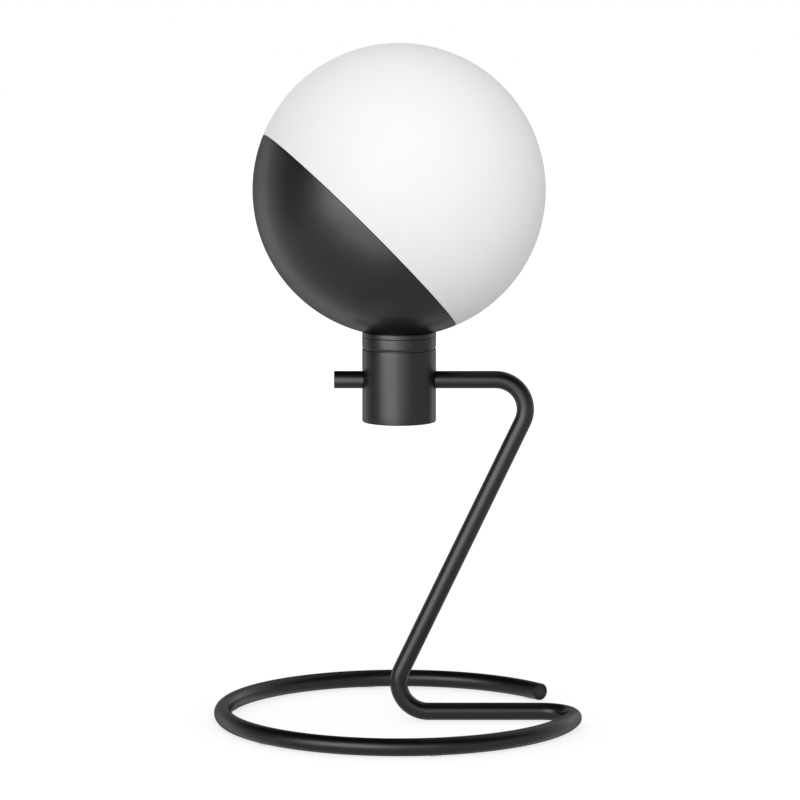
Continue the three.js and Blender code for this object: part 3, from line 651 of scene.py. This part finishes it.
def pierced_wall(radius, low, high, hole, block):
    """A cylinder's wall with two round passages along X, and the angles of the passages' corners. Round each
    passage a block of the wall's grid is left out, and rings of points lead from the block's edge to the
    passage's rim: place = edge + (rim - edge) * share, as (y, z), with x = sqrt(radius ^ 2 - y ^ 2)."""
    half_columns, half_height, block_rows = block
    step = 2 * math.pi / ROUND_COLUMNS
    middle = TOP_RUN_HEIGHT
    block_levels = np.linspace(middle - half_height, middle + half_height, block_rows + 1)
    levels = np.concatenate([
        np.linspace(low, block_levels[0], PLAIN_LEVELS + 1)[:-1],
        block_levels,
        np.linspace(block_levels[-1], high, PLAIN_LEVELS + 1)[1:],
    ])
    wall = turned(np.stack([0 * levels + radius, levels], -1))
    quads = grid_faces(len(levels), ROUND_COLUMNS, False)
    row, column = np.divmod(np.arange(len(quads)), ROUND_COLUMNS)
    near = (column + half_columns) % (ROUND_COLUMNS // 2) < 2 * half_columns
    keep = ~(near & (row >= PLAIN_LEVELS) & (row < PLAIN_LEVELS + block_rows))
    parts = [(wall, quads[keep])]
    c = np.arange(-half_columns, half_columns + 1)
    r = np.arange(block_rows + 1)
    edge = np.concatenate([
        np.stack([c[:-1] * step, 0 * c[:-1] + block_levels[0]], -1),
        np.stack([0 * r[:-1] + half_columns * step, block_levels[r[:-1]]], -1),
        np.stack([c[:0:-1] * step, 0 * c[1:] + block_levels[-1]], -1),
        np.stack([0 * r[1:] - half_columns * step, block_levels[r[:0:-1]]], -1),
    ])
    edge_y, edge_z = radius * np.sin(edge[:, 0]), edge[:, 1] - middle
    turn = np.arctan2(edge_z, edge_y)
    rim_y, rim_z = hole * np.cos(turn), hole * np.sin(turn)
    share = np.linspace(0, 1, RIM_RINGS + 1)[:, None] ** RIM_CROWDING
    y, z = edge_y + (rim_y - edge_y) * share, edge_z + (rim_z - edge_z) * share
    x = np.sqrt(radius ** 2 - y ** 2)
    for side in (1, -1):
        parts.append(skin(np.stack([side * x, y, z + middle], -1)))
    return parts, turn


def passages(outer_turn, inner_turn):
    """For both sides, the passage through the wall and the collar inside it: tubes along X, from
    x = sqrt(wall radius ^ 2 - y ^ 2) to the collar's end."""
    parts = []
    for side in (1, -1):
        for radius, wall, turn in ((PASSAGE_RADIUS, HOUSING_RADIUS, outer_turn),
                                   (COLLAR_RADIUS, HOUSING_BORE, inner_turn)):
            y, z = radius * np.cos(turn), radius * np.sin(turn)
            parts.append(skin(np.stack([np.stack([side * x, y, z + TOP_RUN_HEIGHT], -1)
                                        for x in (np.sqrt(wall ** 2 - y ** 2), 0 * y + COLLAR_END)])))
    return parts


def rim_corners(turn, radius, angles):
    """For each angle, the rim's last corner at or before it: (radius cos c, radius sin c) at its angle c."""
    corners = np.sort(turn)
    corner = corners[np.searchsorted(corners, angles + ANGLE_MATCH) - 1]
    return radius * np.stack([np.cos(corner), np.sin(corner)], -1)


def collar_faces(outer_turn, inner_turn):
    """The flat end of each collar: a strip between its two rims, with a step at each corner of either."""
    angles = np.unique(np.round(np.concatenate([outer_turn, inner_turn]), 9))
    rims = rim_corners(outer_turn, PASSAGE_RADIUS, angles), rim_corners(inner_turn, COLLAR_RADIUS, angles)
    return [skin(np.stack([np.stack([0 * y + side * COLLAR_END, y, z + TOP_RUN_HEIGHT], -1)
                           for y, z in (rim.T for rim in rims)]))
            for side in (1, -1)]


def groove_profile(top, deck_low):
    """From the outer wall over the rounded edge and the pin's groove to the stem's hole, and back below."""
    pin_low, pin_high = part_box("swivel_stop_moving")
    middle = (pin_low.y + pin_high.y) / 2
    half = (pin_high.y - pin_low.y) / 2 + FIT
    floor = pin_low.z - FIT
    edge = quarter_round(HOUSING_RADIUS, top, -JOINT_EDGE, -JOINT_EDGE)
    return np.array([*edge, (middle + half, top), (middle + half, floor), (middle - half, floor),
                     (middle - half, top), (STEM_HOLE, top), (STEM_HOLE, deck_low), (HOUSING_BORE, deck_low)])


def housing_shell():
    """The turned foot, ledge and deck, the pierced outer and inner walls, and the two collars."""
    low, top = housing_low.z, housing_high.z
    wall_low, wall_high = low + EDGE_ROUND, top - JOINT_EDGE
    deck_low = top - DECK_THICKNESS
    ledge = cover_high.z + FIT
    ledge_radius = HOUSING_BORE + LEDGE_WIDTH
    outer_corner, inner_corner = (HOUSING_RADIUS, low), (ledge_radius, low)
    below = np.concatenate([
        fillet(outer_corner, (HOUSING_RADIUS, wall_low), inner_corner, EDGE_ROUND),
        fillet(inner_corner, outer_corner, (ledge_radius, ledge), FINE_EDGE),
        [(ledge_radius, ledge), (HOUSING_BORE, ledge)],
    ])
    above = groove_profile(top, deck_low)
    outer_parts, outer_turn = pierced_wall(HOUSING_RADIUS, wall_low, wall_high, PASSAGE_RADIUS, OUTER_BLOCK)
    inner_parts, inner_turn = pierced_wall(HOUSING_BORE, ledge, deck_low, COLLAR_RADIUS, INNER_BLOCK)
    parts = [skin(turned(below)), skin(turned(above)), *outer_parts, *inner_parts,
             *passages(outer_turn, inner_turn), *collar_faces(outer_turn, inner_turn)]
    finish(mesh_of("housing_shell", parts), "stand", "satin_black", "housing")


# Swivel disc and neck ring

def swivel_band():
    """The turning disc: it is bevelled down to a narrow lip, and hollowed under for the washer."""
    low, top = housing_high.z + JOINT_LINE, disc_high.z
    recess_top = washer_high.z + FIT
    inner, outer = WASHER_BORE - FIT, washer_high.x + FIT
    lip = HOUSING_RADIUS - LIP_INSET
    profile = rounded([
        (STEM_HOLE, low, 0), (inner, low, 0), (inner, recess_top, 0), (outer, recess_top, 0), (outer, low, 0),
        (lip, low, JOINT_EDGE / 2), (lip, low + LIP_HEIGHT, JOINT_EDGE),
        (HOUSING_RADIUS, low + BEVEL_HEIGHT, JOINT_EDGE * 2),
        (HOUSING_RADIUS, top, JOINT_EDGE), (STEM_HOLE, top, 0),
    ])
    finish(mesh_of("swivel_band", [skin(turned(profile), True)]), "head", "satin_black", "swivel_disc")


def neck_collar():
    """The ring whose top is hollowed to the cap: height = centre - sqrt(seat radius ^ 2 - r ^ 2)."""
    seat = GLOBE_RADIUS + SEAT_LINE
    r = np.linspace(HOUSING_RADIUS - JOINT_EDGE, NECK_BORE, NECK_ROWS)
    top = np.stack([r, GLOBE_HEIGHT - np.sqrt(seat ** 2 - r ** 2)], -1)
    side_top = top[0, 1] - JOINT_EDGE * 0.7
    low = disc_high.z + NECK_LINE
    foot = quarter_round(HOUSING_RADIUS, low, -JOINT_EDGE, JOINT_EDGE)[::-1]
    edge = [(HOUSING_RADIUS, side_top), (HOUSING_RADIUS - JOINT_EDGE * 0.3, side_top + JOINT_EDGE * 0.5)]
    profile = np.concatenate([[(NECK_BORE, low)], foot, edge, top])
    finish(mesh_of("neck_collar", [skin(turned(profile), True)]), "head", "satin_black", "neck_ring")


# Globe and cap

def to_globe(points):
    """From the globe's own frame, whose Z is its axis, to the lamp's, by the shortest turn."""
    turn = Vector((0, 0, 1)).rotation_difference(Vector(GLOBE_AXIS)).to_matrix()
    return np.asarray(points) @ np.array(turn).T + GLOBE_CENTRE


def opal_globe():
    """The blown glass: an outer sphere down to the seam, its rounded rim, the neck, and an inner sphere.
    A sphere's profile is radius = R sin t, height = R cos t, about the globe's own axis."""
    seam = -SEAM_DROP + SEAM_GAP / 2
    inner = GLOBE_RADIUS - GLASS_WALL
    shelf = seam + GLASS_WALL
    neck = math.sqrt(GLOBE_RADIUS ** 2 - SEAM_DROP ** 2) - GLASS_NECK_INSET
    bore = neck - GLASS_WALL
    neck_end = seam - GLASS_NECK_LENGTH
    rim_radius = math.sqrt(GLOBE_RADIUS ** 2 - seam ** 2)
    t = np.linspace(math.acos((seam + GLASS_RIM_ROUND) / GLOBE_RADIUS), 0, OUTSIDE_ROWS)
    outside = np.stack([GLOBE_RADIUS * np.sin(t), GLOBE_RADIUS * np.cos(t)], -1)
    rim = fillet((rim_radius, seam), (rim_radius - GLASS_WALL, seam), outside[0], GLASS_RIM_ROUND * 0.8, 6)
    t = np.linspace(0, math.acos(shelf / inner), INSIDE_ROWS)
    inside = np.stack([inner * np.sin(t), inner * np.cos(t)], -1)
    foot = rounded([
        (bore, shelf, GLASS_NECK_ROUND), (bore, neck_end, GLASS_NECK_ROUND),
        (neck, neck_end, GLASS_NECK_ROUND), (neck, seam, GLASS_NECK_FILLET), (rim_radius, seam, 0),
    ])[:-1]
    profile = np.concatenate([rim, outside, inside, foot])
    points = to_globe(turned(profile, GLOBE_COLUMNS))
    finish(mesh_of("opal_globe", [skin(points, True)]), "globe", "opal_glass", "glass_globe")


def cap_angles(radius, height, around):
    """For each direction round the upright, the angle from straight down at which the sphere of this radius
    meets the plane at this height along the globe's axis: A sin p - n_z cos p = height / radius."""
    a = GLOBE_AXIS[0] * np.cos(around) + GLOBE_AXIS[1] * np.sin(around)
    reach = np.sqrt(a ** 2 + GLOBE_AXIS[2] ** 2)
    return np.arctan2(GLOBE_AXIS[2], a) + np.arcsin(height / radius / reach)


def on_sphere(radius, angle, around):
    """Points at an angle from straight down on the globe's sphere of this radius."""
    return np.stack([radius * np.sin(angle) * np.cos(around), radius * np.sin(angle) * np.sin(around),
                     -radius * np.cos(angle)], -1) + GLOBE_CENTRE


def cap_bowl():
    """The cap's skins run from the stem's hole to the rim, which is square to the globe's axis."""
    around = np.linspace(0, 2 * math.pi, GLOBE_COLUMNS, endpoint=False)
    rim = -SEAM_DROP - SEAM_GAP / 2
    inner_radius = GLOBE_RADIUS - CAP_WALL
    share = np.linspace(0, 1, CAP_ROWS)[:, None]

    def rows(radius):
        low, high = math.asin(STEM_HOLE / radius), cap_angles(radius, rim - CAP_EDGE, around)
        return on_sphere(radius, low + (high - low) * share, around[None] + 0 * share)

    over = quarter_round(GLOBE_RADIUS, rim, -CAP_EDGE, -CAP_EDGE)[1:]
    back = quarter_round(inner_radius, rim, CAP_EDGE, -CAP_EDGE)[:0:-1]
    lip = np.stack([on_sphere(r, cap_angles(r, h, around), around) for r, h in (*over, *back)])
    points = np.concatenate([rows(GLOBE_RADIUS), lip, rows(inner_radius)[::-1]])
    finish(mesh_of("cap_bowl", [skin(points, True)]), "head", "satin_black", "cap_shell")


# Frame nodes that stay, with their finishes

def finish_nodes():
    """Each CAD node that still shows gets its slot's material and softened shading between its facets."""
    slots = {part["node"]: part["material_slot"] for part in frame["record"]["subparts"]}
    for name, node in frame["nodes"].items():
        if node.hide_render:
            continue
        node.data.materials.clear()
        node.data.materials.append(FINISHES[slots[name]])
        weld = node.modifiers.new("joined corners", "WELD")
        weld.merge_threshold = MERGE
        split = node.modifiers.new("kept edges", "EDGE_SPLIT")
        split.split_angle = KEPT_ANGLE
        node.data.polygons.foreach_set("use_smooth", np.ones(len(node.data.polygons), bool))


# Stage, lights and camera

WHITE = (1, 1, 1, 1)
FLOOR_SIZE = 14.0
FLOOR_DIFFUSE = (0.6, 0.6, 0.6, 1)  # as diffuse light meets it
FLOOR_SEEN = (0.29, 0.29, 0.29, 1)  # as the camera and mirrors see it, under its glow
FLOOR_GLOW = (0.75, 0.9)  # near the lamp and far from it
FLOOR_REACH = (0.15, 0.9)  # the distances between which the glow rises
WORLD_GLOW = (1.0, 0.03)  # at the horizon and overhead
WORLD_RISE = (0.1, 0.55)  # the sines of elevation between which it falls
AMBIENT = 0.67

# Soft boxes: name, azimuth in degrees, distance, height, width and height of the box, watts
SHEEN_BOXES = [
    ("main_box", -33, 1.25, 0.45, (1.22, 0.9), 19.0),
    ("side_box", 8, 1.25, 0.45, (0.76, 0.9), 3.5),
    ("rear_box", 132, 2.4, 2.0, (3.2, 3.7), 27.0),
]
FLOOR_PATCH = ("floor_glow", -19, 0.88, 0.002, (0.72, 0.75), 5.4)
PLAIN_BOXES = [
    ("front_box", 0, 2.2, 1.2, (1.5, 1.5), 27.6),
    ("back_box", -150, 2.4, 1.1, (1.5, 1.5), 12.0),
]

FLAG_PLACE = -1.15  # along X
FLAG_HALF_WIDTH = 0.22
FLAG_HEIGHT = 0.75
FLAG_TONE = 0.35

CAMERA_PLACE = (0.0006, -3.0796, 0.62208)
CAMERA_PITCH = math.radians(7.369)
IMAGE_SIZE = 800
FOCAL_PIXELS = 4527.6
SENSOR_WIDTH = 36.0


def plain_tree(owner, output):
    """A material's or a world's emptied node tree, and its one output socket."""
    owner.use_nodes = True
    owner.node_tree.nodes.clear()
    return owner.node_tree, owner.node_tree.nodes.new(output).inputs["Surface"]


def by_ray(tree, diffuse, shown, surface):
    """One shader for diffuse light, and one for camera, glossy and transmission rays, which all see the
    plain white surroundings."""
    path = added(tree, "ShaderNodeLightPath")
    factor = path.outputs["Is Camera Ray"]
    for name in ("Is Glossy Ray", "Is Transmission Ray"):
        more = tree.nodes.new("ShaderNodeMath")
        more.operation = "MAXIMUM"
        tree.links.new(factor, more.inputs[0])
        tree.links.new(path.outputs[name], more.inputs[1])
        factor = more.outputs[0]
    mix = added(tree, "ShaderNodeMixShader")
    for k, socket in enumerate((factor, diffuse.outputs[0], shown.outputs[0])):
        tree.links.new(socket, mix.inputs[k])
    tree.links.new(mix.outputs[0], surface)


def sheet(name, corners, material_name):
    """A flat stage piece with one face, and its new material."""
    mesh = bpy.data.meshes.new(name)
    mesh.from_pydata(corners, [], [(0, 1, 2, 3)])
    material = bpy.data.materials.new(material_name)
    mesh.materials.append(material)
    obj = placed(name, mesh)
    return obj, material


def floor():
    """A wide pale floor: white away from the lamp, and lit enough near it to keep the lamp's soft shadow."""
    half = FLOOR_SIZE / 2
    corners = [(-half, -half, 0), (half, -half, 0), (half, half, 0), (-half, half, 0)]
    _, material = sheet("floor", corners, "white_floor")
    tree, surface = plain_tree(material, "ShaderNodeOutputMaterial")
    plain = added(tree, "ShaderNodeBsdfDiffuse", {"Color": FLOOR_DIFFUSE})
    seen = added(tree, "ShaderNodeBsdfDiffuse", {"Color": FLOOR_SEEN})
    glow = added(tree, "ShaderNodeEmission", {"Color": WHITE})
    place = added(tree, "ShaderNodeTexCoord")
    reach = tree.nodes.new("ShaderNodeVectorMath")
    reach.operation = "LENGTH"
    tree.links.new(place.outputs["Object"], reach.inputs[0])
    tree.links.new(mapped(tree, reach.outputs["Value"], *FLOOR_GLOW, FLOOR_REACH), glow.inputs["Strength"])
    both = added(tree, "ShaderNodeAddShader")
    tree.links.new(seen.outputs[0], both.inputs[0])
    tree.links.new(glow.outputs[0], both.inputs[1])
    by_ray(tree, plain, both, surface)


def world():
    """White at and below the horizon, darker overhead, and one plain grey level for diffuse light."""
    studio = bpy.data.worlds.new("studio")
    bpy.context.scene.world = studio
    tree, surface = plain_tree(studio, "ShaderNodeOutputWorld")
    place = added(tree, "ShaderNodeTexCoord")
    split = added(tree, "ShaderNodeSeparateXYZ")
    tree.links.new(place.outputs["Generated"], split.inputs[0])
    shown = added(tree, "ShaderNodeBackground", {"Color": WHITE})
    ambient = added(tree, "ShaderNodeBackground", {"Color": WHITE, "Strength": AMBIENT})
    tree.links.new(mapped(tree, split.outputs["Z"], *WORLD_GLOW, WORLD_RISE), shown.inputs["Strength"])
    by_ray(tree, ambient, shown, surface)


def area_light(name, azimuth, distance, height, size, power, sheen):
    """A light at an azimuth that is 0 at the photograph's side and turns towards +X. One kind gives the
    sheen on paint, and the other the plain light."""
    light = bpy.data.lights.new(name, "AREA")
    light.shape = "RECTANGLE"
    light.size, light.size_y = size
    light.energy = power
    obj = placed(name, light)
    turn = math.radians(azimuth)
    obj.location = (distance * math.sin(turn), -distance * math.cos(turn), height)
    obj.visible_camera = False
    obj.visible_diffuse = not sheen
    obj.visible_glossy = sheen
    return obj


def soft_box(name, azimuth, distance, height, size, power, sheen):
    """A soft box that faces the lamp."""
    obj = area_light(name, azimuth, distance, height, size, power, sheen)
    aim = Vector((0, 0, min(height, GLOBE_HEIGHT))) - obj.location
    obj.rotation_mode = "QUATERNION"
    obj.rotation_quaternion = aim.to_track_quat("-Z", "Y")
    return obj


def floor_patch(name, azimuth, distance, height, size, power):
    """A bright patch that the boxes throw on the floor, as the paint mirrors it. It faces up."""
    obj = area_light(name, azimuth, distance, height, size, power, True)
    obj.rotation_euler = (math.pi, 0, -math.radians(azimuth))
    return obj


def lights():
    """Soft boxes for the plain light, and others that only the paint mirrors."""
    paint = bpy.data.collections.new("painted_pieces")
    for obj in bpy.context.scene.objects:
        if obj.type == "MESH" and obj.active_material == FINISHES["satin_black"]:
            paint.objects.link(obj)
    sheens = [*[soft_box(*box, True) for box in SHEEN_BOXES], floor_patch(*FLOOR_PATCH)]
    for light in sheens:
        light.light_linking.receiver_collection = paint
    for box in PLAIN_BOXES:
        soft_box(*box, False)


def flag():
    """A grey board that stands left of the lamp, where only its paint mirrors it."""
    x, reach, top = FLAG_PLACE, FLAG_HALF_WIDTH, FLAG_HEIGHT
    corners = [(x, -reach, 0), (x, reach, 0), (x, reach, top), (x, -reach, top)]
    obj, material = sheet("left_flag", corners, "left_flag_grey")
    tree, surface = plain_tree(material, "ShaderNodeOutputMaterial")
    tone = added(tree, "ShaderNodeEmission", {"Color": WHITE, "Strength": FLAG_TONE})
    tree.links.new(tone.outputs[0], surface)
    for ray in ("camera", "diffuse", "transmission", "volume_scatter", "shadow"):
        setattr(obj, "visible_" + ray, False)


def camera():
    """A camera at the photograph's place, pitched down as that one was."""
    data = bpy.data.cameras.new("camera")
    data.sensor_width = SENSOR_WIDTH
    data.lens = FOCAL_PIXELS * SENSOR_WIDTH / IMAGE_SIZE
    obj = placed("camera", data)
    obj.location = CAMERA_PLACE
    obj.rotation_euler = (math.pi / 2 - CAMERA_PITCH, 0, 0)
    bpy.context.scene.camera = obj


bent_tube()
end_plug()
lead_bush()
lead_in_tube()
ring_pads()
housing_shell()
swivel_band()
neck_collar()
opal_globe()
cap_bowl()
finish_nodes()
floor()
world()
lights()
flag()
camera()
bpy.context.scene.view_settings.view_transform = "Standard"
